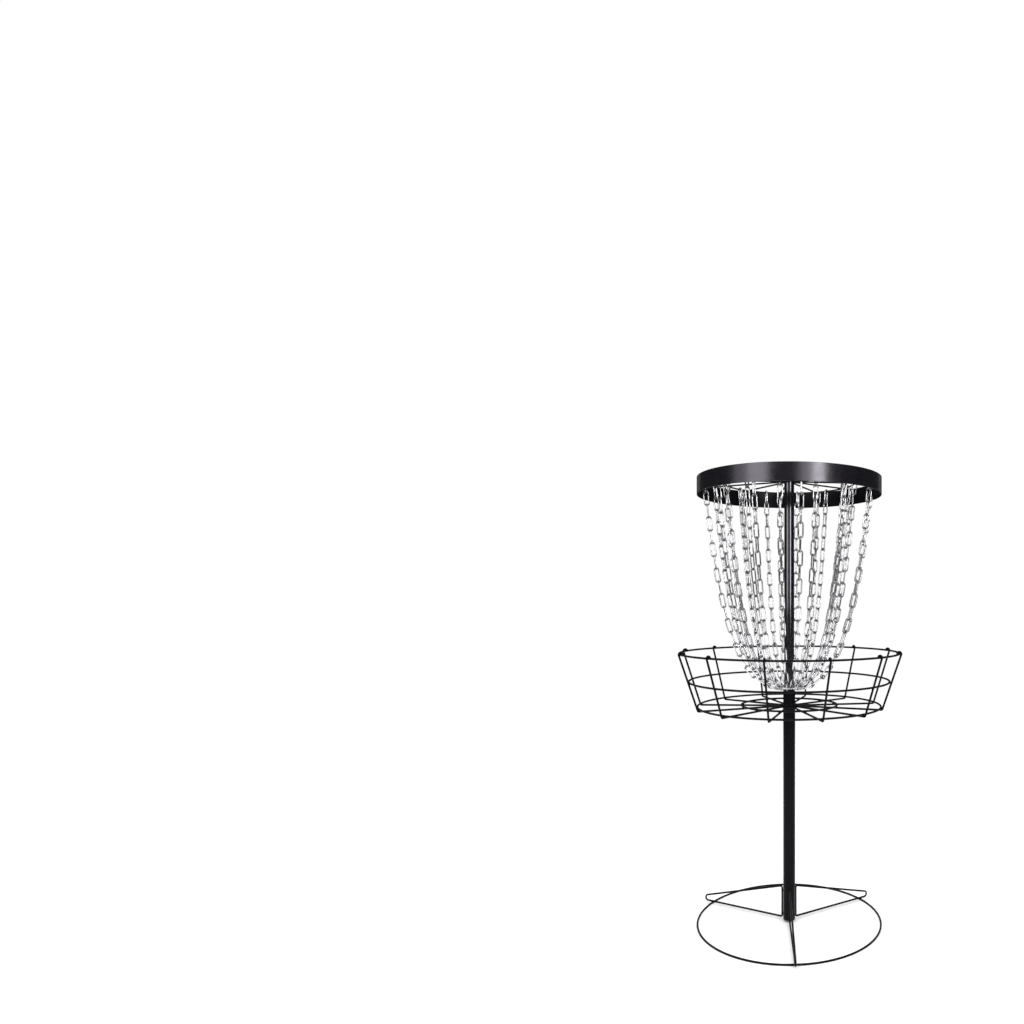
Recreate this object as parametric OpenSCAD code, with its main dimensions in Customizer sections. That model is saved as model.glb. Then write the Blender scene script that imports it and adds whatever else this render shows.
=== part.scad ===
// Free-standing practice basket for disc golf, in millimetres.
// Origin: on the ground, on the pole's axis. +Z is up, +Y points to the back.

/* [Pole] */
// Outer diameter of the lower tube and of the basket's hub
lower_tube_d = 36; // [34:0.5:40]
// Outer diameter of the upper tube
upper_tube_d = 30; // [28:0.5:31]
// Running gap round the upper tube, on the radius
tube_gap = 0.2; // [0.1:0.05:0.4]
// Wall of the upper tube
upper_wall = 1.5; // [1:0.25:3]
// Height of the lower tube's lower end above the ground
tube_foot_z = 7.5; // [6:0.5:10]
// Height of the joint between the lower tube and the hub
joint_z = 628; // [600:1:632]
// Height of the hub's upper end
hub_top_z = 694; // [660:1:695]
// Depth that the upper tube reaches down inside the lower tube
plug_depth = 78; // [50:1:120]

/* [Base] */
// Radius of the base ring, to the middle of its wire
base_ring_r = 273; // [250:1:300]
// Wire diameter of the base ring
base_wire_d = 5.5; // [5:0.5:8]
// Wire diameter of the legs
leg_wire_d = 5.5; // [4:0.5:6]
// Reach of a leg's rounded end, from the axis to the wire's outer side
leg_reach = 299.5; // [292:0.5:320]
// Slope of a leg's upper wire, in degrees
leg_slope = 15.8; // [12:0.1:17]
// Angle of the first leg about the pole, in degrees
leg_angle = 33.2; // [0:0.1:60]

/* [Basket] */
// Wire diameter of the basket
basket_wire_d = 6; // [4:0.5:7]
// Radius of the rim ring, to the middle of its wire
rim_r = 327; // [310:1:340]
// Height of the rim ring
rim_z = 804; // [790:1:820]
// Radius of the lower ring
lower_ring_r = 273; // [260:1:285]
// Height of the lower ring
lower_ring_z = 645.5; // [640:0.5:650]
// Height of the middle ring
middle_ring_z = 720.5; // [700:0.5:740]
// Radius of the floor ring
floor_ring_r = 142.7; // [120:0.1:160]
// Number of ribs
rib_count = 12; // [8:1:12]
// Angle of the first rib, in degrees
rib_angle = 18.8; // [0:0.1:30]
// Outer diameter of the collar that the ribs are welded to
collar_d = 48; // [44:1:54]

/* [Chain holder] */
// Outer diameter of the band
band_d = 551; // [530:1:580]
// Height of the band
band_h = 51; // [40:1:70]
// Height of the band's upper edge
band_top_z = 1324; // [1300:1:1350]
// Sheet thickness of the band
band_wall = 1.5; // [1:0.25:3]
// Height of the spokes' middle line
spoke_z = 1316.5; // [1300:0.5:1318]
// Angle of the first spoke, in degrees
spoke_angle = 7.5; // [0:0.5:30]
// Radius of the inner hanging ring
hanging_ring_r = 196; // [170:1:220]
// Radius at which the outer chains hang
outer_hang_r = 253.5; // [240:0.5:260]

/* [Chains] */
// Wire diameter of a chain link
link_wire_d = 4; // [3:0.25:5]
// Outer width of a chain link
link_w = 17; // [15:0.5:20]
// Distance from one link to the next
link_pitch = 38.3; // [37:0.1:40]
// Play between two links
link_play = 0.4; // [0.2:0.1:1]
// Links in an outer chain, an even number
outer_links = 18; // [18:2:20]
// Links in an inner chain, an odd number
inner_links = 17; // [17:2:19]
// Radius of the collector ring, to the middle of its wire
collector_r = 42; // [38:0.5:50]
// Height of the collector ring
collector_z = 700.5; // [698:0.5:710]
// Wire diameter of the collector ring and the hanging ring
ring_wire_d = 5; // [4:0.5:6]

/* [Hidden] */
FINE = 96;
WIRE_FN = 24;
SPOKES = 12;
LEGS = 3;
// Gap left between pieces that are welded or pressed together
weld_gap = 0.02;
// Gap between the straight stretches and the bends of one wire
bend_gap = 0.01;
// How far a cutting solid runs past the ends of what it cuts
cut_past = 1;
tube_bore_d = upper_tube_d + 2 * tube_gap;
// How far below the band's top edge the upper tube ends
upper_drop = 3;
upper_top_z = band_top_z - upper_drop;
upper_foot_z = joint_z - plug_depth;
stop_h = 20;
stop_wall = 3;
seat_gap = 0.05;
plug_lip_h = 2.5;
plug_body_h = 24;
cap_lip_h = 2.4;
cap_body_h = 18;
collar_h = 12;
collar_z = 644.5;

// Base: the ring lies on the ground, the legs' lower wires lie on the ring
leg_low_z = base_wire_d + leg_wire_d / 2 + weld_gap;
leg_end_r = 8.5;
leg_corner_r = 5;
leg_gap = 2.8;
leg_inner_r = lower_tube_d / 2 + leg_gap + leg_wire_d / 2;
weld_d = 5;
leg_weld_z = [18, 88];
weld_bite = 0.6;

// Basket: the rings lie inside the ribs and on the spokes that the ribs end in
wall_run = [rim_r - lower_ring_r, rim_z - lower_ring_z];
wall_lean = wall_run / norm(wall_run);
wall_out = [wall_lean.y, -wall_lean.x];
wire_step = basket_wire_d + weld_gap;
middle_ring_r = lower_ring_r + (middle_ring_z - lower_ring_z) * wall_lean.x / wall_lean.y;
nest_gap = 0.08;
rib_bend_r = 4.9;
rib_low_z = lower_ring_z - wire_step - nest_gap;
rib_hub = [collar_d / 2 + weld_gap, collar_z];
rib_corner = [lower_ring_r, lower_ring_z] + wall_out * wire_step
    + wall_lean * (rib_low_z - lower_ring_z - wire_step * wall_out.y) / wall_lean.y;
floor_share = (rib_corner.x - floor_ring_r) / (rib_corner.x - rib_hub.x);
floor_ring_z = rib_low_z + (rib_hub.y - rib_low_z) * floor_share + wire_step;
curl_sweep = 215;

// Chain holder: the hanging ring is welded under the spokes
band_bore_d = band_d - 2 * band_wall;
spoke_end_gap = 0.2;
hanging_ring_z = spoke_z - ring_wire_d - weld_gap;

// Chains: a hung chain takes the shape of a catenary of its own length, whose parameter
// is searched for between these two values in this many halvings
sag_low = 15;
sag_high = 400;
sag_steps = 40;
link_in = link_pitch + link_play;
hook_gap = 0.2;
hang_rise = ring_wire_d / 2 + hook_gap + link_play / 2;
end_fillet = (link_w - 2 * link_wire_d) / 2;
end_slack = end_fillet - ring_wire_d / 2 - hook_gap;
outer_top = [outer_hang_r, spoke_z + hang_rise];
inner_top = [hanging_ring_r, hanging_ring_z + hang_rise];

function sinh(x) = (exp(x) - exp(-x)) / 2;
function asinh(x) = ln(x + sqrt(x * x + 1));
function two_digits(n) = n < 10 ? str("0", n) : str(n);
function numbered(name, count) = [for (i = [1:count]) str(name, "_", two_digits(i))];

// Sagitta equation of a catenary: twice its parameter times sinh of half the span over it
function sag_term(a, span) = 2 * a * sinh(span / (2 * a));
// Parameter of the catenary with this span and this sag term, by halving an interval
function solve_a(span, term, low, high, steps) =
    steps == 0 ? (low + high) / 2
    : sag_term((low + high) / 2, span) > term
        ? solve_a(span, term, (low + high) / 2, high, steps - 1)
        : solve_a(span, term, low, (low + high) / 2, steps - 1);
// A catenary from start to end, [radius, height] each, as [parameter, vertex radius]
function catenary(start, end, length) =
    let (span = end.x - start.x, rise = end.y - start.y)
    let (a = solve_a(span, sqrt(length * length - rise * rise), sag_low, sag_high, sag_steps))
    [a, (start.x + end.x) / 2 - a * asinh(rise / sag_term(a, span))];
// The point that lies this length of chain from the start
function catenary_point(start, c, length) =
    let (a = c[0], s0 = a * sinh((start.x - c[1]) / a), s = s0 + length)
    [c[1] + a * asinh(s / a), start.y + sqrt(a * a + s * s) - sqrt(a * a + s0 * s0)];
// The joints between the links of a chain
function chain_points(start, end, links) =
    let (c = catenary(start, end, links * link_pitch))
    [for (i = [0:links]) catenary_point(start, c, i * link_pitch)];
function unit(v) = v / norm(v);
// Where a chain starts, so that the collector ring lies on the lower side of its first link
function chain_start(tilt) =
    [collector_r, collector_z] + [-sin(tilt), cos(tilt)] * end_slack - [cos(tilt), sin(tilt)] * end_fillet;
function first_tilt(points) = atan2(points[1].y - points[0].y, points[1].x - points[0].x);
function settled_points(end, links) =
    let (first = chain_points(chain_start(0), end, links))
    let (second = chain_points(chain_start(first_tilt(first)), end, links))
    chain_points(chain_start(first_tilt(second)), end, links);
outer_points = settled_points(outer_top, outer_links);
inner_points = settled_points(inner_top, inner_links);

leg_names = ["leg_right", "leg_left", "leg_front"];
rib_names = numbered("rib", rib_count);
outer_names = numbered("outer_chain", SPOKES);
inner_names = numbered("inner_chain", SPOKES);

// Straight wire between two points of the XZ plane
module wire_run(p, q, d) {
    translate([p.x, 0, p.y])
        rotate([0, atan2(q.x - p.x, q.y - p.y), 0])
            cylinder(d = d, h = norm(q - p), $fn = WIRE_FN);
}

// Bend in the XZ plane, counted from +X towards +Z
module wire_bend(centre, r, from, sweep, d) {
    translate([centre.x, 0, centre.y])
        rotate([90, 0, 0])
            rotate([0, 0, from])
                rotate_extrude(angle = sweep, $fn = FINE)
                    translate([r, 0])
                        circle(d = d, $fn = WIRE_FN);
}

// Wire bent in the XZ plane: each corner is rounded by its own radius, 0 at the ends of an open wire.
// Straight stretches stop a hair short of the bends, so that each stretch is a clean solid of its own.
module bent_wire(corners, radii, d, closed = false) {
    n = len(corners);
    last = closed ? n - 1 : n - 2;
    ways = [for (i = [0:n - 1]) unit(corners[(i + 1) % n] - corners[i])];
    turns = [for (i = [0:n - 1])
        let (u = ways[(i + n - 1) % n], v = ways[i])
        atan2(u.x * v.y - u.y * v.x, u * v)];
    cuts = [for (i = [0:n - 1]) radii[i] == 0 ? 0 : radii[i] * tan(abs(turns[i]) / 2)];
    for (i = [0:last]) {
        j = (i + 1) % n;
        start = radii[i] > 0 ? cuts[i] + bend_gap : 0;
        end = radii[j] > 0 ? cuts[j] + bend_gap : 0;
        wire_run(corners[i] + ways[i] * start, corners[j] - ways[i] * end, d);
    }
    for (i = [0:n - 1])
        if (radii[i] > 0) {
            u = ways[(i + n - 1) % n];
            side = [-u.y, u.x] * sign(turns[i]);
            centre = corners[i] - u * cuts[i] + side * radii[i];
            from = turns[i] > 0 ? atan2(-side.y, -side.x) : atan2(-side.y, -side.x) + turns[i];
            wire_bend(centre, radii[i], from, abs(turns[i]), d);
        }
}

// Round wire ring, level, with its middle line at this height
module wire_ring(r, z, d) {
    translate([0, 0, z])
        rotate_extrude($fn = FINE)
            translate([r, 0])
                circle(d = d, $fn = WIRE_FN);
}

module pipe(d, bore, z0, z1) {
    translate([0, 0, z0])
        difference() {
            cylinder(d = d, h = z1 - z0, $fn = FINE);
            translate([0, 0, -cut_past])
                cylinder(d = bore, h = z1 - z0 + 2 * cut_past, $fn = FINE);
        }
}

module lower_tube() {
    color("#17161a")
        pipe(lower_tube_d, tube_bore_d, tube_foot_z, joint_z - seat_gap);
}

// Plastic plug in the lower tube, with a lip over its end
module foot_plug() {
    color("#101012")
        translate([0, 0, tube_foot_z - plug_lip_h - weld_gap]) {
            cylinder(d = lower_tube_d, h = plug_lip_h, $fn = FINE);
            cylinder(d = tube_bore_d - 2 * weld_gap, h = plug_body_h, $fn = FINE);
        }
}

// Sleeve inside the lower tube that the upper tube stands on
module pole_stop() {
    top = upper_foot_z - seat_gap;
    color("#17161a")
        pipe(tube_bore_d - 2 * weld_gap, tube_bore_d - 2 * stop_wall, top - stop_h, top);
}

module base_ring() {
    color("#17161a")
        wire_ring(base_ring_r, base_wire_d / 2, base_wire_d);
}

// One leg: a closed wire triangle that stands on edge and lies on the base ring
module leg(i) {
    tip_r = leg_reach - leg_wire_d / 2 - leg_end_r + leg_end_r * tan(90 - leg_slope / 2);
    top_z = leg_low_z + (tip_r - leg_inner_r) * tan(leg_slope);
    corners = [[leg_inner_r, leg_low_z], [tip_r, leg_low_z], [leg_inner_r, top_z]];
    color("#17161a")
        rotate([0, 0, leg_angle + 360 / LEGS * i])
            bent_wire(corners, [leg_corner_r, leg_end_r, leg_corner_r], leg_wire_d, closed = true);
}

// Beads that join each leg's upright to the lower tube
module leg_welds() {
    color("#17161a")
        for (i = [0:LEGS - 1], z = leg_weld_z)
            rotate([0, 0, leg_angle + 360 / LEGS * i])
                translate([lower_tube_d / 2 - weld_bite, 0, z])
                    rotate([0, 90, 0])
                        cylinder(d = weld_d, h = leg_gap + 2 * weld_bite, $fn = FINE);
}

module hub_tube() {
    color("#17161a")
        pipe(lower_tube_d, tube_bore_d, joint_z, hub_top_z);
}

module hub_collar() {
    color("#17161a")
        pipe(collar_d, lower_tube_d + 2 * weld_gap, collar_z - collar_h / 2, collar_z + collar_h / 2);
}

module basket_ring(r, z) {
    color("#17161a")
        wire_ring(r, z, basket_wire_d);
}

// One rib: curls over the rim ring, runs down outside the rings and turns in to the collar
module rib(i) {
    rim = [rim_r, rim_z];
    top = rim + wall_out * wire_step - wall_lean * bend_gap;
    out_angle = atan2(wall_out.y, wall_out.x);
    color("#17161a")
        rotate([0, 0, rib_angle + 360 / rib_count * i]) {
            bent_wire([top, rib_corner, rib_hub], [0, rib_bend_r, 0], basket_wire_d);
            wire_bend(rim, wire_step, out_angle, curl_sweep, basket_wire_d);
        }
}

module upper_tube() {
    color("#17161a")
        pipe(upper_tube_d, upper_tube_d - 2 * upper_wall, upper_foot_z, upper_top_z);
}

// Plastic plug in the upper tube, with a lip over its end
module top_cap() {
    color("#101012") {
        translate([0, 0, upper_top_z + weld_gap])
            cylinder(d = upper_tube_d, h = cap_lip_h, $fn = FINE);
        translate([0, 0, upper_top_z + weld_gap + cap_lip_h - cap_body_h])
            cylinder(d = upper_tube_d - 2 * upper_wall - 2 * weld_gap, h = cap_body_h, $fn = FINE);
    }
}

module band() {
    color("#1a191d")
        pipe(band_d, band_bore_d, band_top_z - band_h, band_top_z);
}

// Radial wires from the upper tube to the band
module spokes() {
    inner_end = upper_tube_d / 2 + weld_gap;
    outer_end = band_bore_d / 2 - spoke_end_gap;
    color("#17161a")
        for (i = [0:SPOKES - 1])
            rotate([0, 0, spoke_angle + 360 / SPOKES * i])
                wire_run([inner_end, spoke_z], [outer_end, spoke_z], ring_wire_d);
}

module hanging_ring() {
    color("#17161a")
        wire_ring(hanging_ring_r, hanging_ring_z, ring_wire_d);
}

// Ring round the upper tube that every chain ends on
module collector_ring() {
    color("#a9adb2")
        wire_ring(collector_r, collector_z, ring_wire_d);
}

// Long link, standing on end in the XZ plane
module link() {
    bend_r = (link_w - link_wire_d) / 2;
    half_side = link_in / 2 - end_fillet;
    for (end = [0, 180])
        rotate([0, end, 0])
            wire_bend([0, half_side], bend_r, 0, 180, link_wire_d);
    for (side = [-1, 1])
        wire_run([side * bend_r, -half_side], [side * bend_r, half_side], link_wire_d);
}

// Links along the joints of a hung chain, each turned a quarter from the one before
module chain(points, angle) {
    color("#b9bcc1")
        rotate([0, 0, angle])
            for (i = [0:len(points) - 2]) {
                middle = (points[i] + points[i + 1]) / 2;
                way = points[i + 1] - points[i];
                translate([middle.x, 0, middle.y])
                    rotate([0, atan2(way.x, way.y), 0])
                        rotate([0, 0, 90 * (i % 2)])
                            link();
            }
}

module outer_chain(i) {
    chain(outer_points, spoke_angle + 360 / SPOKES * i);
}

module inner_chain(i) {
    chain(inner_points, spoke_angle + 360 / SPOKES * (i + 0.5));
}

lower_tube();
foot_plug();
pole_stop();
base_ring();
for (i = [0:LEGS - 1])
    leg(i);
leg_welds();
hub_tube();
hub_collar();
basket_ring(rim_r, rim_z);  // rim_ring
basket_ring(middle_ring_r, middle_ring_z);  // middle_ring
basket_ring(lower_ring_r, lower_ring_z);  // lower_ring
basket_ring(floor_ring_r, floor_ring_z);  // floor_ring
for (i = [0:rib_count - 1])
    rib(i);
upper_tube();
top_cap();
band();
spokes();
hanging_ring();
collector_ring();
for (i = [0:SPOKES - 1])
    outer_chain(i);
for (i = [0:SPOKES - 1])
    inner_chain(i);
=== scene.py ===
"""Looks of the disc golf basket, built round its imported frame. Metres, +Z up, +Y to the back."""

import math

import bmesh
import bpy
import numpy as np
from mathutils import Matrix, Vector, noise


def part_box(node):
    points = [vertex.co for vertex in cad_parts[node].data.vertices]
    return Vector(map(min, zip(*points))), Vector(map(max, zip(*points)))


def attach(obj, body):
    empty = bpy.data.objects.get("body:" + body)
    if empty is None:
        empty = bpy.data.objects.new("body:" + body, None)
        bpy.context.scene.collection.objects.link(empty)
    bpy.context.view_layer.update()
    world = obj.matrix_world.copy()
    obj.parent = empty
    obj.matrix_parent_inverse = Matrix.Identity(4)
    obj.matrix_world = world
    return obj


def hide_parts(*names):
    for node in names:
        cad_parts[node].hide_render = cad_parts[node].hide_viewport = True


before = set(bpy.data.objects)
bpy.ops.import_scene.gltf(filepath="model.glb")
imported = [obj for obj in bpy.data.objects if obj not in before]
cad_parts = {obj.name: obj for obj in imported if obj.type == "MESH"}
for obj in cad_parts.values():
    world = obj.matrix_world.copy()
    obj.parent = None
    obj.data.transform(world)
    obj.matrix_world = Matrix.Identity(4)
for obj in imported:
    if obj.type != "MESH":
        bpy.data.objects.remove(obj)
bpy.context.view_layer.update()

MM = 0.001
UP = np.array([0.0, 0.0, 1.0])
WEAR_AND_SHADE = "wear_and_shade"   # how much painted shade, with some contact wear, darkens a point of a chain link, from 0 to 1
WIRE_SIDES, LINK_SIDES = 16, 12
PLUG_SEGMENTS = 96
GAP = 0.02 * MM   # that the frame leaves between pieces that touch
SINK = 0.1 * MM   # how deep a weld's hidden edge lies in the metal under it
TINY = 1e-9


# ---------------------------------------------------------------- measures from the frame


def ring_size(node):
    """Radius to the middle of a ring's wire, its height and the wire's radius."""
    low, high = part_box(node)
    wire = (high.z - low.z) / 2
    return (high.x - low.x) / 2 - wire, (high.z + low.z) / 2, wire


def tube_size(node):
    """Outer radius, lower end and upper end of an upright tube."""
    low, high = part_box(node)
    return (high.x - low.x) / 2, low.z, high.z


def triangles(node):
    """Corners of a node's triangles, as an array of shape (count, 3, 3)."""
    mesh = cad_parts[node].data
    mesh.calc_loop_triangles()
    points = np.zeros(len(mesh.vertices) * 3)
    mesh.vertices.foreach_get("co", points)
    index = np.zeros(len(mesh.loop_triangles) * 3, np.int64)
    mesh.loop_triangles.foreach_get("vertices", index)
    return points.reshape(-1, 3)[index].reshape(-1, 3, 3)


def surface_middle(corners):
    """Middle of a surface and its spread, each triangle counted by its area."""
    sides = corners[:, 1:] - corners[:, :1]
    area = np.linalg.norm(np.cross(sides[:, 0], sides[:, 1]), axis=1) / 2
    centres = corners.mean(axis=1)
    middle = (centres * area[:, None]).sum(axis=0) / area.sum()
    off = centres - middle
    return middle, (off * area[:, None]).T @ off / area.sum()


def bearing(node):
    """Angle about the pole at which a radial node stands."""
    middle, _ = surface_middle(triangles(node))
    return math.atan2(middle[1], middle[0])


def solids(node):
    """Triangles of a node, one array for each of its separate solids."""
    corners = triangles(node)
    keys = np.round(corners.reshape(-1, 3) * 1e7).astype(np.int64)
    _, index = np.unique(keys, axis=0, return_inverse=True)
    index = index.reshape(-1, 3)
    label = np.arange(index.max() + 1)
    while True:
        before = label.copy()
        lowest = label[index].min(axis=1)
        for k in range(3):
            np.minimum.at(label, index[:, k], lowest)
        label = label[label]
        if (label == before).all():
            break
    owner = label[index[:, 0]]
    return [corners[owner == one] for one in np.unique(owner)]


# ---------------------------------------------------------------- mesh tools


def unit(v):
    v = np.asarray(v, float)
    return v / np.linalg.norm(v)


def across(way):
    """A direction square to this one, level unless it is close to upright."""
    return unit(np.cross(way, UP if abs(way[2]) < 0.9 else [1.0, 0.0, 0.0]))


def rounded(points, radii, steps=8, closed=False):
    """A line of 2-D points whose corners are rounded to arcs of these radii."""
    count, out = len(points), []
    points = [np.asarray(p, float) for p in points]
    for i, p in enumerate(points):
        if radii[i] == 0 or (not closed and i in (0, count - 1)):
            out.append(p)
            continue
        back, on = unit(points[i - 1] - p), unit(points[(i + 1) % count] - p)
        half = math.acos(max(-1.0, min(1.0, back @ on))) / 2
        centre = p + unit(back + on) * radii[i] / math.sin(half)
        start, end = (p + way * radii[i] / math.tan(half) - centre for way in (back, on))
        turn = math.pi - 2 * half
        sign = math.copysign(1, start[0] * end[1] - start[1] * end[0])
        for k in range(steps + 1):
            a = sign * turn * k / steps
            out.append(centre + [start[0] * math.cos(a) - start[1] * math.sin(a),
                                 start[0] * math.sin(a) + start[1] * math.cos(a)])
    return out


def sweep(path, radius, sides=WIRE_SIDES, closed=False, bevel=0.0):
    """Round wire along a path, as vertices and faces. radius is one number or one per point."""
    path = np.asarray(path, float)
    count = len(path)
    radius = np.broadcast_to(np.asarray(radius, float), (count,)).copy()
    ahead, behind = np.roll(path, -1, axis=0), np.roll(path, 1, axis=0)
    way = ahead - behind
    if not closed:
        way[0], way[-1] = path[1] - path[0], path[-1] - path[-2]
    way /= np.linalg.norm(way, axis=1)[:, None]
    side = np.zeros_like(path)
    side[0] = across(way[0])
    for i in range(1, count):
        side[i] = unit(side[i - 1] - way[i] * (side[i - 1] @ way[i]))
    if bevel and not closed:
        near, far = path[0] + way[0] * bevel, path[-1] - way[-1] * bevel
        path = np.vstack([path[0], near, path[1:-1], far, path[-1]])
        way = np.vstack([way[0], way, way[-1]])
        side = np.vstack([side[0], side, side[-1]])
        radius = np.concatenate([[radius[0] - bevel], radius, [radius[-1] - bevel]])
        count += 2
    other = np.cross(way, side)
    angles = np.arange(sides) * 2 * math.pi / sides
    cos, sin = np.cos(angles)[None, :, None], np.sin(angles)[None, :, None]
    spokes = side[:, None] * cos + other[:, None] * sin
    points = (path[:, None] + spokes * radius[:, None, None]).reshape(-1, 3)
    faces = []
    for i in range(count if closed else count - 1):
        j = (i + 1) % count
        for k in range(sides):
            m = (k + 1) % sides
            faces.append((i * sides + k, i * sides + m, j * sides + m, j * sides + k))
    if not closed:
        faces.append(tuple(reversed(range(sides))))
        faces.append(tuple(range((count - 1) * sides, count * sides)))
    return points, faces


def lathe(profile, segments=128, change=None):
    """An outline of (radius, height) points turned about the pole.

    It is a closed ring, or a solid where its first and last points are on the axis.
    change gives how far a point at (angle, radius, height) is moved out and up.
    """
    profile = [tuple(p) for p in profile]
    solid = profile[0][0] < TINY
    angles = np.arange(segments) * 2 * math.pi / segments
    points, rows = [], []
    for r, z in profile:
        if r < TINY:
            rows.append([len(points)] * segments)
            points.append((0.0, 0.0, z))
            continue
        rows.append(list(range(len(points), len(points) + segments)))
        for a in angles:
            dr, dz = change(a, r, z) if change else (0.0, 0.0)
            points.append(((r + dr) * math.cos(a), (r + dr) * math.sin(a), z + dz))
    faces = []
    for i in range(len(rows) - 1 if solid else len(rows)):
        low, high = rows[i], rows[(i + 1) % len(rows)]
        for k in range(segments):
            m = (k + 1) % segments
            face = tuple(dict.fromkeys((low[k], low[m], high[m], high[k])))
            if len(face) > 2:
                faces.append(face)
    return np.array(points), faces


def placed(part, x, y, z, at):
    """A part with its axes turned to x, y and z and its origin moved to at."""
    points, faces = part
    return points @ np.stack([x, y, z]) + at, faces


def joined(parts):
    """Several parts as one."""
    points, faces, start = [], [], 0
    for p, f in parts:
        points.append(p)
        faces += [tuple(i + start for i in face) for face in f]
        start += len(p)
    return np.vstack(points), faces


def make_mesh(name, part, material):
    points, faces = part
    mesh = bpy.data.meshes.new(name)
    mesh.from_pydata([tuple(p) for p in points], [], faces)
    mesh.polygons.foreach_set("use_smooth", [True] * len(mesh.polygons))
    mesh.materials.append(material)
    mesh.update()
    return mesh


def piece(name, mesh, body, slot, *nodes, turn=0.0):
    """A piece on a body, in place of these CAD nodes, turned about the pole."""
    obj = bpy.data.objects.new(name, mesh)
    bpy.context.scene.collection.objects.link(obj)
    obj.matrix_world = Matrix.Rotation(turn, 4, "Z")
    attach(obj, body)
    if nodes:
        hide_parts(*nodes)


# ---------------------------------------------------------------- materials
# Noise scales are in cycles per metre, and bump distances in metres.


def new_material(name):
    material = bpy.data.materials.new(name)
    material.use_nodes = True
    tree = material.node_tree
    tree.nodes.clear()
    out = tree.nodes.new("ShaderNodeOutputMaterial")
    shader = tree.nodes.new("ShaderNodeBsdfPrincipled")
    tree.links.new(shader.outputs["BSDF"], out.inputs["Surface"])
    where = tree.nodes.new("ShaderNodeTexCoord")
    return material, tree, shader, where.outputs["Object"]


def add_noise(tree, where, scale, detail=3.0, rough=0.5):
    node = tree.nodes.new("ShaderNodeTexNoise")
    node.inputs["Scale"].default_value = scale
    node.inputs["Detail"].default_value = detail
    node.inputs["Roughness"].default_value = rough
    tree.links.new(where, node.inputs["Vector"])
    return node.outputs["Fac"]


def add_range(tree, value, low, high, start=0.3, end=0.7):
    node = tree.nodes.new("ShaderNodeMapRange")
    node.inputs["From Min"].default_value = start
    node.inputs["From Max"].default_value = end
    node.inputs["To Min"].default_value = low
    node.inputs["To Max"].default_value = high
    tree.links.new(value, node.inputs["Value"])
    return node.outputs["Result"]


def add_ramp(tree, value, stops):
    node = tree.nodes.new("ShaderNodeValToRGB")
    ramp = node.color_ramp
    while len(ramp.elements) < len(stops):
        ramp.elements.new(0.5)
    for element, (at, colour) in zip(ramp.elements, stops, strict=True):
        element.position = at
        element.color = (*colour, 1.0)
    tree.links.new(value, node.inputs["Fac"])
    return node.outputs["Color"]


def add_bump(tree, height, distance, strength, normal=None):
    node = tree.nodes.new("ShaderNodeBump")
    node.inputs["Distance"].default_value = distance
    node.inputs["Strength"].default_value = strength
    tree.links.new(height, node.inputs["Height"])
    if normal:
        tree.links.new(normal, node.inputs["Normal"])
    return node.outputs["Normal"]


def powder_coat(name, dark, light, smooth, rough, peel, gleam):
    """Satin powder coat: a fine orange peel with faint clouds in its colour and gloss."""
    material, tree, shader, where = new_material(name)
    clouds = add_noise(tree, where, 22.0, 4.0, 0.6)
    tree.links.new(add_ramp(tree, clouds, [(0.3, dark), (0.7, light)]), shader.inputs["Base Color"])
    gloss = add_noise(tree, where, 60.0, 5.0, 0.6)
    tree.links.new(add_range(tree, gloss, smooth, rough), shader.inputs["Roughness"])
    coarse = add_bump(tree, add_noise(tree, where, 700.0, 2.0), 0.0001, peel)
    fine = add_bump(tree, add_noise(tree, where, 2400.0, 2.0), 0.00003, peel, coarse)
    tree.links.new(fine, shader.inputs["Normal"])
    shader.inputs["Specular IOR Level"].default_value = gleam
    shader.inputs["Specular Tint"].default_value = (0.93, 0.89, 1.0, 1.0)
    return material


def zinc_plate(name, dark, light, smooth, rough, worn_and_shaded=None):
    """Zinc plating: clouds in its tone, drawing marks and dull spots.

    With a colour for the link ends, the mesh's attribute of painted shade and wear darkens and dulls
    it: painted shade where the links nest in each other, with some contact wear.
    """
    material, tree, shader, where = new_material(name)
    shader.inputs["Metallic"].default_value = 1.0
    tone = add_noise(tree, where, 38.0, 5.0, 0.65)
    colour = add_ramp(tree, tone, [(0.3, dark), (0.55, light), (0.75, light)])
    dull = add_noise(tree, where, 160.0, 4.0, 0.6)
    gloss = add_range(tree, dull, smooth, rough)
    if worn_and_shaded:
        # Painted shade: the attribute darkens the colour towards the dark end colour where links
        # nest, with some contact wear
        wear_and_shade = tree.nodes.new("ShaderNodeAttribute")
        wear_and_shade.attribute_name = WEAR_AND_SHADE
        mix = tree.nodes.new("ShaderNodeMix")
        mix.data_type = "RGBA"
        darker = add_range(tree, wear_and_shade.outputs["Fac"], 0.0, 0.88, 0.0, 1.0)
        duller = add_range(tree, wear_and_shade.outputs["Fac"], 0.0, 0.14, 0.0, 1.0)
        tree.links.new(darker, mix.inputs["Factor"])
        tree.links.new(colour, mix.inputs["A"])
        mix.inputs["B"].default_value = (*worn_and_shaded, 1.0)
        colour = mix.outputs["Result"]
        total = tree.nodes.new("ShaderNodeMath")
        tree.links.new(gloss, total.inputs[0])
        tree.links.new(duller, total.inputs[1])
        gloss = total.outputs["Value"]
    tree.links.new(colour, shader.inputs["Base Color"])
    tree.links.new(gloss, shader.inputs["Roughness"])
    ripple = add_bump(tree, add_noise(tree, where, 520.0, 3.0), 0.0001, 0.25)
    grain = add_bump(tree, add_noise(tree, where, 2600.0, 2.0), 0.00003, 0.3, ripple)
    tree.links.new(grain, shader.inputs["Normal"])
    return material


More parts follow.
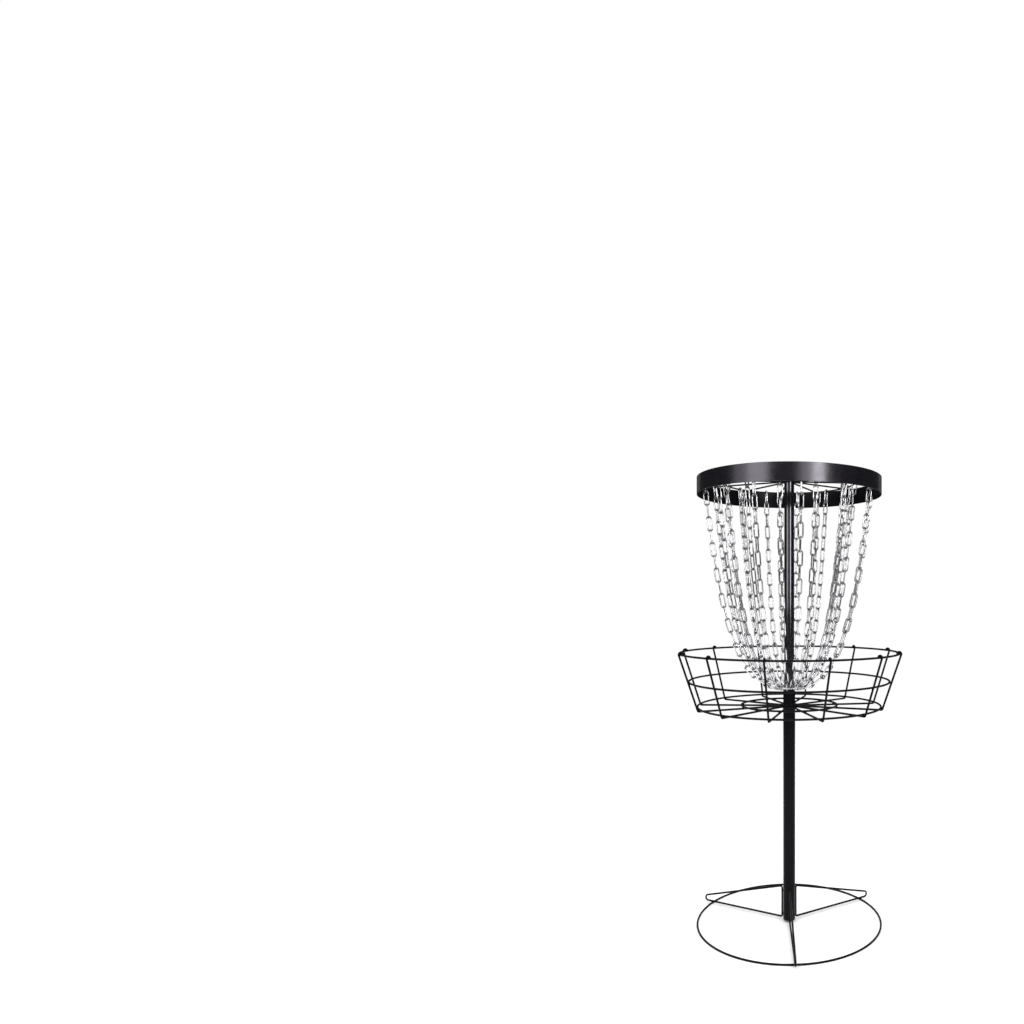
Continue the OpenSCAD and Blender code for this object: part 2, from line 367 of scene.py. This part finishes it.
def moulded_plastic(name):
    """Black plastic with the fine texture of a spark-eroded mould."""
    material, tree, shader, where = new_material(name)
    tone = add_noise(tree, where, 90.0, 3.0)
    colour = add_ramp(tree, tone, [(0.3, (0.010, 0.010, 0.011)), (0.7, (0.018, 0.018, 0.019))])
    gloss = add_range(tree, add_noise(tree, where, 300.0), 0.45, 0.6)
    texture = add_bump(tree, add_noise(tree, where, 2400.0, 2.0), 0.00008, 0.5)
    tree.links.new(colour, shader.inputs["Base Color"])
    tree.links.new(gloss, shader.inputs["Roughness"])
    tree.links.new(texture, shader.inputs["Normal"])
    return material


tube_dark, tube_light = (0.0026, 0.0023, 0.0031), (0.0046, 0.0042, 0.0054)
tube_coat = powder_coat("tube_powder_coat", tube_dark, tube_light,
                        smooth=0.22, rough=0.30, peel=0.08, gleam=0.07)
upper_coat = powder_coat("upper_tube_powder_coat", tube_dark, tube_light,
                         smooth=0.10, rough=0.16, peel=0.05, gleam=1.2)
wire_coat = powder_coat("wire_powder_coat", (0.0024, 0.0022, 0.0028), (0.0042, 0.0039, 0.0048),
                        smooth=0.28, rough=0.38, peel=0.12, gleam=0.08)
band_coat = powder_coat("band_powder_coat", (0.0040, 0.0035, 0.0052), (0.0070, 0.0062, 0.0086),
                        smooth=0.20, rough=0.27, peel=0.06, gleam=0.8)
plastic = moulded_plastic("moulded_plastic")
# The dark colour given last is painted shade at the link ends where they nest, with some contact
# wear
chain_zinc = zinc_plate("chain_zinc", (0.48, 0.48, 0.495), (0.84, 0.84, 0.86),
                        smooth=0.10, rough=0.20, worn_and_shaded=(0.07, 0.07, 0.075))
ring_zinc = zinc_plate("ring_zinc", (0.40, 0.40, 0.42), (0.62, 0.62, 0.64),
                       smooth=0.16, rough=0.28)


# ---------------------------------------------------------------- shared shapes


def wire_ring(name, node, body, slot, material, weld_angle, weld_size=0.25 * MM, floor=None):
    """A ring of bent wire with the slight swelling of its butt weld, no lower than floor."""
    radius, height, wire = ring_size(node)
    count, weld_reach, weld_end = 288, 2.2 * MM, 12 * MM
    angles = np.arange(count) * 2 * math.pi / count
    along = (angles - weld_angle + math.pi) % (2 * math.pi) - math.pi
    swell = weld_size * np.exp(-((along * radius) / weld_reach) ** 2)
    swell *= np.abs(along * radius) < weld_end
    path = np.array([radial(a, radius, height) for a in angles])
    points, faces = sweep(path, wire + swell, closed=True)
    if floor is not None:
        points[:, 2] = np.maximum(points[:, 2], floor)
    piece(name, make_mesh(name, (points, faces), material), body, slot, node)


def bead(at, along, normal, size, seed):
    """A weld nugget of this (width, height): a blob flattened along normal, with an uneven skin."""
    width, height = size
    shape = bmesh.new()
    bmesh.ops.create_icosphere(shape, subdivisions=2, radius=1.0)
    points = np.array([v.co for v in shape.verts])
    faces = [tuple(v.index for v in f.verts) for f in shape.faces]
    shape.free()
    shift = Vector((seed * 3.1, seed * 1.7, seed * 0.9))
    lumps = [1 + 0.16 * noise.noise(Vector(p) * 1.7 + shift) for p in points]
    points = points * np.array(lumps)[:, None] * [width, width, height]
    z = unit(normal)
    x = unit(np.asarray(along) - z * (np.asarray(along) @ z))
    axes = np.stack([x, np.cross(z, x), z], axis=1)
    return points @ axes.T + np.asarray(at), faces


def fillet_weld(at, way, inner, size, seed):
    """A ring of weld metal of this (width, height) round a wire's end.

    It stands on the surface that the wire runs into, and way points from there along the wire.
    """
    width, height = size
    steps, segments = 6, 40
    hidden = inner * 0.92
    outline = [(hidden, 0.0)]
    for k in range(steps + 1):
        a = math.pi / 2 * k / steps
        outline.append((inner + width * math.cos(a) ** 1.3, height * math.sin(a) ** 1.3))
    outline.append((hidden, height))

    def ripple(a, r, z):
        if r < inner:
            return 0.0, 0.0
        drift = noise.noise(Vector((math.cos(a) * 1.6 + seed, math.sin(a) * 1.6, seed * 0.37)))
        wave = abs(math.sin(a * 7 + seed))
        rise = height * (0.15 * drift + 0.05 * wave) if z > 0 else 0.0
        return width * (0.22 * drift + 0.08 * wave), rise

    z = unit(way)
    x = across(z)
    return placed(lathe(outline, segments, ripple), x, np.cross(z, x), z, at)


def pole_weld(radius, height, width, up, seed):
    """A rippled fillet of weld metal all round the pole, above (up 1) or below (up -1) a collar."""
    steps, segments = 5, 264
    rise = up * width * 0.8
    outline = [(radius - SINK, height)]
    for k in range(steps + 1):
        a = math.pi / 2 * k / steps
        outline.append((radius + width * math.cos(a), height + rise * math.sin(a)))
    outline.append((radius - SINK, height + rise))

    def ripple(a, r, z):
        if r < radius:
            return 0.0, 0.0
        wave = abs(math.sin(a * 22 + seed)) - 0.5
        drift = noise.noise(Vector((math.cos(a) * 2 + seed, math.sin(a) * 2, 0.0)))
        size = width * (0.12 * wave + 0.18 * drift)
        return (size, up * size * 0.6) if abs(z - height) > TINY else (size, 0.0)

    return lathe(outline, segments, ripple)


def radial(angle, r, z):
    """The point at this angle, radius and height."""
    return np.array([r * math.cos(angle), r * math.sin(angle), z])


def stood(points, angle=0.0):
    """2-D points (radius, height) stood in the plane at this angle."""
    return np.array([radial(angle, p[0], p[1]) for p in points])


def divided(points, step):
    """A line of points with long stretches divided into steps."""
    out = [points[0]]
    for p, q in zip(points, points[1:], strict=False):
        count = max(1, int(np.linalg.norm(np.subtract(q, p)) / step))
        out += [np.asarray(p) + (np.asarray(q) - p) * k / count for k in range(1, count + 1)]
    return out


# ---------------------------------------------------------------- base

pole_r, pole_foot, _ = tube_size("lower_tube")
base_r, _, base_wire = ring_size("base_ring")
leg_names = [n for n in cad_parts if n.startswith("leg_") and n != "leg_welds"]
tube_wall = 2.8 * MM


def tube(name, node, wall, body, material):
    """An upright tube with its ends broken by small rounds.

    A row of points near each end keeps the round's shading off the long wall.
    """
    edge, row = 0.6 * MM, 3 * MM
    outer, low, high = tube_size(node)
    inner = outer - wall
    outline = [(inner, low), (outer, low), (outer, low + row), (outer, high - row), (outer, high),
               (inner, high)]
    profile = rounded(outline, [edge / 2, edge, 0, 0, edge, edge / 2], 4, closed=True)
    piece(name, make_mesh(name, lathe(profile), material), body, "tube_coat", node)


tube("pole_lower", "lower_tube", tube_wall, "base", tube_coat)
wire_ring("ground_ring", "base_ring", "base", "wire_coat", wire_coat, math.radians(62), floor=0.0)

# Foot plug: a domed lip under the tube and a shank inside it
_, plug_low, plug_high = tube_size("foot_plug")
plug_lip = pole_foot - GAP
lip_r, shank_r = pole_r - 0.2 * MM, pole_r - tube_wall - 0.05 * MM
plug = rounded([(0, plug_low), (lip_r, plug_low), (lip_r, plug_lip), (shank_r, plug_lip),
                (shank_r, plug_high), (0, plug_high)],
               [0, 1.2 * MM, 0.3 * MM, 0, 0.8 * MM, 0], 6)
plug_mesh = make_mesh("pole_foot_plug", lathe(plug, PLUG_SEGMENTS), plastic)
piece("pole_foot_plug", plug_mesh, "base", "plastic", "foot_plug")

# Legs: closed triangles of wire, on edge
leg_wire = 2.75 * MM
leg_slope = math.radians(15.8)
leg_end_r, leg_corner_r = 8.5 * MM, 5 * MM   # bends at the tip and at the pole
leg_weld_gap = 2.8 * MM                      # between the pole and the wire
leg_inner = pole_r + leg_weld_gap + leg_wire
leg_low_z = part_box(leg_names[0])[0].z + leg_wire
leg_points = np.concatenate([triangles(n).reshape(-1, 3) for n in leg_names])
leg_reach = max(math.hypot(x, y) for x, y, _ in leg_points) - leg_wire
leg_tip = leg_reach - leg_end_r + leg_end_r * math.tan(math.pi / 4 + (math.pi / 4 - leg_slope / 2))
leg_top = leg_low_z + (leg_tip - leg_inner) * math.tan(leg_slope)
leg_line = rounded([(leg_inner, leg_low_z), (leg_tip, leg_low_z), (leg_inner, leg_top)],
                   [leg_corner_r, leg_end_r, leg_corner_r], 14, closed=True)
leg_path = stood(divided(leg_line + [leg_line[0]], 12 * MM)[:-1])
leg_mesh = make_mesh("leg", sweep(leg_path, leg_wire, closed=True), wire_coat)
leg_weld_r = pole_r + 1.2 * MM
leg_weld_heights = 18 * MM, 88 * MM
leg_welds = []
for n in leg_names:
    angle = bearing(n)
    out = radial(angle, 1, 0)
    piece("wire_" + n, leg_mesh, "base", "wire_coat", n, turn=angle)
    for k, z in enumerate(leg_weld_heights):
        on_pole = radial(angle, leg_weld_r, z)
        leg_welds.append(bead(on_pole, UP, out, (3.4 * MM, 3.2 * MM), 5 * angle + k))
    on_ring = radial(angle, base_r, 2 * base_wire)
    leg_welds.append(bead(on_ring, out, UP, (3.6 * MM, 1.7 * MM), 3 * angle))
leg_weld_mesh = make_mesh("base_weld_beads", joined(leg_welds), wire_coat)
piece("base_weld_beads", leg_weld_mesh, "base", "wire_coat", "leg_welds")


# ---------------------------------------------------------------- basket

rim_r, rim_z, basket_wire = ring_size("rim_ring")
low_r, low_z, _ = ring_size("lower_ring")
floor_r, floor_z, _ = ring_size("floor_ring")
mid_r, mid_z, _ = ring_size("middle_ring")
collar_r, collar_low, collar_high = tube_size("hub_collar")
collar_z = (collar_low + collar_high) / 2

# Each ring's butt weld stands 50 degrees on from the last one's
for k, n in enumerate(("rim_ring", "middle_ring", "lower_ring", "floor_ring")):
    wire_ring("basket_" + n, n, "basket", "wire_coat", wire_coat, math.radians(70 + 50 * k))

tube("basket_hub", "hub_tube", tube_wall, "basket", tube_coat)
collar_bore = pole_r + 0.03 * MM
collar = rounded([(collar_bore, collar_low), (collar_r, collar_low), (collar_r, collar_high),
                  (collar_bore, collar_high)],
                 [0.3 * MM, 1.2 * MM, 1.2 * MM, 0.3 * MM], 5, closed=True)
collar_mesh = make_mesh("basket_collar", lathe(collar), tube_coat)
piece("basket_collar", collar_mesh, "basket", "tube_coat", "hub_collar")

# Ribs: from the curl over the rim down the wall and in to the collar
wall_lean = unit([rim_r - low_r, rim_z - low_z])
wall_out = np.array([wall_lean[1], -wall_lean[0]])
wire_step = 2 * basket_wire + GAP   # from the middle of one wire to that of the next
rib_drop = 0.08 * MM                # of the rib's inward stretch, below the lower ring's wire
rib_bend_r = 4.9 * MM
curl_turn = math.radians(215)
rib_low_z = low_z - wire_step - rib_drop
rib_corner = (np.array([low_r, low_z]) + wall_out * wire_step
              + wall_lean * (rib_low_z - low_z - wire_step * wall_out[1]) / wall_lean[1])
rim_line = np.array([rim_r, rim_z])
curl_start = math.atan2(wall_out[1], wall_out[0])
curl_end = curl_start + curl_turn
curl = [rim_line + wire_step * np.array([math.cos(a), math.sin(a)])
        for a in np.linspace(curl_end, curl_start, 33)]
rib_line = rounded([curl[-1], rib_corner, (collar_r + GAP, collar_z)], [0, rib_bend_r, 0], 10)
rib_path = stood(curl[:-1] + divided(rib_line, 10 * MM))
rib_mesh = make_mesh("rib", sweep(rib_path, basket_wire, bevel=0.5 * MM), wire_coat)

rib_names = sorted(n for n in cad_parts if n.startswith("rib_"))
basket_welds = []
for k, n in enumerate(rib_names):
    angle = bearing(n)
    out = radial(angle, 1, 0)
    piece("wire_" + n, rib_mesh, "basket", "wire_coat", n, turn=angle)
    outward = wall_out[0] * out + wall_out[1] * UP
    for m, (r, z) in enumerate(((rim_r, rim_z), (mid_r, mid_z), (low_r, low_z))):
        at = radial(angle, r, z) + outward * basket_wire
        basket_welds.append(bead(at, UP, outward, (3.4 * MM, 1.7 * MM), k * 4.3 + m * 1.9))
    under = radial(angle, floor_r, floor_z) - UP * basket_wire
    basket_welds.append(bead(under, out, UP, (3.3 * MM, 1.6 * MM), k * 2.9))
    on_collar = radial(angle, collar_r - SINK, collar_z)
    basket_welds.append(fillet_weld(on_collar, out, basket_wire, (1.5 * MM, 1.7 * MM), k * 1.3))
collar_weld = 2.4 * MM
basket_welds.append(pole_weld(pole_r, collar_high, collar_weld, up=1, seed=0.7))
basket_welds.append(pole_weld(pole_r, collar_low, collar_weld, up=-1, seed=2.1))
basket_weld_mesh = make_mesh("basket_weld_beads", joined(basket_welds), wire_coat)
piece("basket_weld_beads", basket_weld_mesh, "basket", "wire_coat")


# ---------------------------------------------------------------- chain holder

top_r, _, top_high = tube_size("upper_tube")
band_r, band_low, band_high = tube_size("band")
band_wall = upper_wall = 1.5 * MM
spoke_low, spoke_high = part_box("spokes")
spoke_z = (spoke_low.z + spoke_high.z) / 2
spoke_wire = (spoke_high.z - spoke_low.z) / 2
hang_r, hang_z, _ = ring_size("hanging_ring")

tube("pole_upper", "upper_tube", upper_wall, "chain_holder", upper_coat)

# Top cap: a shank inside the tube and a domed head on its end
_, cap_low, cap_high = tube_size("top_cap")
cap_seat = top_high + GAP
cap_shank_r, cap_r = top_r - 1.6 * MM, top_r - 0.1 * MM
cap = rounded([(0, cap_low), (cap_shank_r, cap_low), (cap_shank_r, cap_seat), (cap_r, cap_seat),
               (cap_r, cap_high), (0, cap_high)],
              [0, 0.8 * MM, 0, 0.3 * MM, 1.6 * MM, 0], 6)
cap_mesh = make_mesh("pole_top_cap", lathe(cap, PLUG_SEGMENTS), plastic)
piece("pole_top_cap", cap_mesh, "chain_holder", "plastic", "top_cap")

# Band: rolled sheet with rounded edges, glossy outside and coated like the wires inside
inner = band_r - band_wall
band_row = 4 * MM
low_row, high_row = band_low + band_row, band_high - band_row
band_outline = [(inner, band_low), (band_r, band_low), (band_r, low_row), (band_r, high_row),
                (band_r, band_high), (inner, band_high), (inner, high_row), (inner, low_row)]
inner_edge, outer_edge = 0.5 * MM, 0.65 * MM
band_radii = [inner_edge, outer_edge, 0, 0, outer_edge, inner_edge, 0, 0]
band_profile = rounded(band_outline, band_radii, 5, closed=True)
band_mesh = make_mesh("chain_band", lathe(band_profile, 384), band_coat)
band_mesh.materials.append(wire_coat)
for face in band_mesh.polygons:
    face.material_index = int(face.center.xy.length < inner + 0.2 * MM)
piece("chain_band", band_mesh, "chain_holder", "band_coat", "band")

spoke_angle = bearing("outer_chain_01")
spoke_count, spoke_step = 12, math.radians(30)
spoke_line = divided([(top_r + GAP, spoke_z), (inner - 0.05 * MM, spoke_z)], 10 * MM)
spoke_parts, holder_welds = [], []
for k in range(spoke_count):
    angle = spoke_angle + spoke_step * k
    out = radial(angle, 1, 0)
    spoke_parts.append(sweep(stood(spoke_line, angle), spoke_wire, bevel=0.4 * MM))
    on_tube, on_band = (radial(angle, r, spoke_z) for r in (top_r - SINK, inner + SINK))
    on_hanging_ring = radial(angle, hang_r, (spoke_z + hang_z) / 2)
    holder_welds += [fillet_weld(on_tube, out, spoke_wire, (1.2 * MM, 1.5 * MM), k * 1.1),
                     fillet_weld(on_band, -out, spoke_wire, (1.5 * MM, 1.8 * MM), k * 1.7 + 3),
                     bead(on_hanging_ring, out, UP, (3.3 * MM, 1.6 * MM), k * 2.3)]

# The band's ends meet in a seam at the back, welded on the inside with an uneven bead
seam_angle = spoke_angle + math.radians(75)
seam_points, seam_margin, seam_r = 60, 1.5 * MM, 1.4 * MM
seam_path = [radial(seam_angle + 0.0012 * math.sin(z * 2200), inner - SINK, z)
             for z in np.linspace(band_low + seam_margin, band_high - seam_margin, seam_points)]
seam_radii = [seam_r * (0.85 + 0.15 * abs(math.sin(k * 0.9))) for k in range(seam_points)]
holder_welds.append(sweep(seam_path, seam_radii, 12, bevel=0.4 * MM))

spoke_mesh = make_mesh("spoke_wires", joined(spoke_parts), wire_coat)
piece("spoke_wires", spoke_mesh, "chain_holder", "wire_coat", "spokes")
wire_ring("chain_hanging_ring", "hanging_ring", "chain_holder", "wire_coat", wire_coat,
          math.radians(70))
holder_weld_mesh = make_mesh("holder_weld_beads", joined(holder_welds), wire_coat)
piece("holder_weld_beads", holder_weld_mesh, "chain_holder", "wire_coat")


# ---------------------------------------------------------------- chains

wire_ring("chain_collector_ring", "collector_ring", "collector", "zinc_ring", ring_zinc,
          math.radians(100), weld_size=0.2 * MM)


def link(length, width, wire):
    """A welded chain link in the XZ plane, and the painted shade and wear of its points, which grow
    towards its ends where the next links nest. The weld swells one of its sides.
    """
    weld_reach, weld_size = 2.4 * MM, 0.22 * MM
    bend = width / 2 - wire
    half = length / 2 - width / 2
    line = []
    for end in (1, -1):
        for a in np.linspace(0, math.pi, 15):
            line.append((end * bend * math.cos(a), end * (half + bend * math.sin(a))))
        for k in range(1, 8):
            line.append((-end * bend, end * half * (1 - k / 4)))
    path = np.array([(x, 0.0, z) for x, z in line])
    weld = (path[:, 0] > bend * 0.9) * np.exp(-(path[:, 2] / weld_reach) ** 2)
    # Painted shade at the link's ends, where the next links nest, with some contact wear
    worn_and_shaded = np.clip((np.abs(path[:, 2]) - half * 0.8) / (half * 0.2 + bend * 0.6), 0, 1)
    shape = sweep(path, wire + weld_size * weld, LINK_SIDES, closed=True)
    return shape, np.repeat(worn_and_shaded, LINK_SIDES)


def build_chain(node):
    """A node's links rebuilt as smooth wire, in the chain's own plane, and the painted shade and
    wear of their points.
    """
    flat = np.array(Matrix.Rotation(-bearing(node), 3, "Z"))
    parts, wear_and_shade = [], []
    for k, corners in enumerate(sorted(solids(node), key=lambda c: c[:, :, 2].mean())):
        corners = corners @ flat.T
        middle, scatter = surface_middle(corners)
        _, axes = np.linalg.eigh(scatter)
        thin, wide, long = axes.T
        long = long if long[2] > 0 else -long
        wide = wide if k % 4 < 2 else -wide
        points = corners.reshape(-1, 3) - middle
        extent = [np.ptp(points @ a) for a in (thin, wide, long)]
        shape, worn_and_shaded = link(extent[2], extent[1], extent[0] / 2)
        parts.append(placed(shape, wide, np.cross(long, wide), long, middle))
        wear_and_shade.append(worn_and_shaded)
    return joined(parts), np.concatenate(wear_and_shade)


for kind in ("outer", "inner"):
    names = sorted(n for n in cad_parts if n.startswith(kind + "_chain_"))
    chain_shape, chain_wear_and_shade = build_chain(names[0])
    chain_mesh = make_mesh(kind + "_chain", chain_shape, chain_zinc)
    # The attribute carries the painted shade, with some contact wear, of the link ends
    chain_mesh.attributes.new(WEAR_AND_SHADE, "FLOAT", "POINT").data.foreach_set("value", chain_wear_and_shade)
    for n in names:
        piece("links_" + n, chain_mesh, n, "zinc_chain", n, turn=bearing(n))

# The sleeve inside the pole keeps its CAD mesh
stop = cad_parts["pole_stop"]
stop.data.materials.clear()
stop.data.materials.append(tube_coat)


# ---------------------------------------------------------------- floor, light and camera


def softbox(name, at, aim, width, height, power):
    """A rectangular light that faces aim."""
    data = bpy.data.lights.new(name, "AREA")
    data.shape = "RECTANGLE"
    data.size, data.size_y = width, height
    data.energy = power
    obj = bpy.data.objects.new(name, data)
    bpy.context.scene.collection.objects.link(obj)
    obj.location = at
    obj.rotation_euler = (Vector(aim) - Vector(at)).to_track_quat("-Z", "Y").to_euler()
    obj.visible_camera = False


floor_mesh = bpy.data.meshes.new("floor")
floor_r, floor_sides = 3.2, 96
floor_edge = [radial(2 * math.pi * k / floor_sides, floor_r, 0) for k in range(floor_sides)]
floor_mesh.from_pydata([tuple(p) for p in floor_edge], [], [tuple(range(floor_sides))])
floor = bpy.data.objects.new("floor", floor_mesh)
bpy.context.scene.collection.objects.link(floor)
floor_paint, floor_tree, floor_shader, floor_where = new_material("pale_floor")
floor_tone = add_noise(floor_tree, floor_where, 1.5, 2.0)
floor_stops = [(0.3, (0.935, 0.935, 0.94)), (0.7, (0.95, 0.95, 0.955))]
floor_colour = add_ramp(floor_tree, floor_tone, floor_stops)
floor_tree.links.new(floor_colour, floor_shader.inputs["Base Color"])
floor_shader.inputs["Roughness"].default_value = 0.8
floor_mesh.materials.append(floor_paint)

# Softboxes stand round the camera, from breast height up, and one hangs overhead.
# Each has a bearing in degrees to the right of the front, a width and a radiance.
box_away, box_z, box_height, box_aim = 3, 1.75, 1.7, (0, 0, 1.2)
for name, side, width, radiance in (("left_softbox", -36, 1.3, 3.8),
                                    ("left_wing", -57, 1.0, 1.3),
                                    ("right_softbox", 34, 0.7, 9.5),
                                    ("right_wing", 20, 0.9, 2.2),
                                    ("back_left_strip", -145, 0.5, 0.25),
                                    ("back_right_strip", 145, 0.5, 0.25)):
    side = math.radians(side)
    at = box_away * math.sin(side), -box_away * math.cos(side), box_z
    softbox(name, at, box_aim, width, box_height, radiance * math.pi * width * box_height)
softbox("top_softbox", (0, 0, 4.2), (0, 0, 0), width=5.0, height=5.0, power=70)

# World: white to the camera, and a dark room with a paler ceiling to everything else
world = bpy.data.worlds.new("studio")
bpy.context.scene.world = world
world.use_nodes = True
tree = world.node_tree
tree.nodes.clear()
world_out = tree.nodes.new("ShaderNodeOutputWorld")
choice = tree.nodes.new("ShaderNodeMixShader")
seen = tree.nodes.new("ShaderNodeBackground")
felt = tree.nodes.new("ShaderNodeBackground")
rays = tree.nodes.new("ShaderNodeLightPath")
sky = tree.nodes.new("ShaderNodeTexCoord")
split = tree.nodes.new("ShaderNodeSeparateXYZ")
seen.inputs["Strength"].default_value = 1.0
tree.links.new(sky.outputs["Generated"], split.inputs["Vector"])
tree.links.new(add_range(tree, split.outputs["Z"], 0.03, 1.15, 0.3, 0.65), felt.inputs["Strength"])
seen.inputs["Color"].default_value = felt.inputs["Color"].default_value = (1, 1, 1, 1)
tree.links.new(rays.outputs["Is Camera Ray"], choice.inputs["Fac"])
tree.links.new(felt.outputs["Background"], choice.inputs[1])
tree.links.new(seen.outputs["Background"], choice.inputs[2])
tree.links.new(choice.outputs["Shader"], world_out.inputs["Surface"])
bpy.context.scene.view_settings.view_transform = "Standard"

# The camera's lens, shift and place are the ones fitted to the photograph
camera_data = bpy.data.cameras.new("camera")
camera_data.lens = 25.49
camera_data.sensor_width = 36
camera_data.shift_x, camera_data.shift_y = -0.2707, 0.0894
camera = bpy.data.objects.new("camera", camera_data)
bpy.context.scene.collection.objects.link(camera)
camera.location = (0, -2.1756, 0.9508)
camera.rotation_euler = (math.pi / 2, 0, 0)
bpy.context.scene.camera = camera
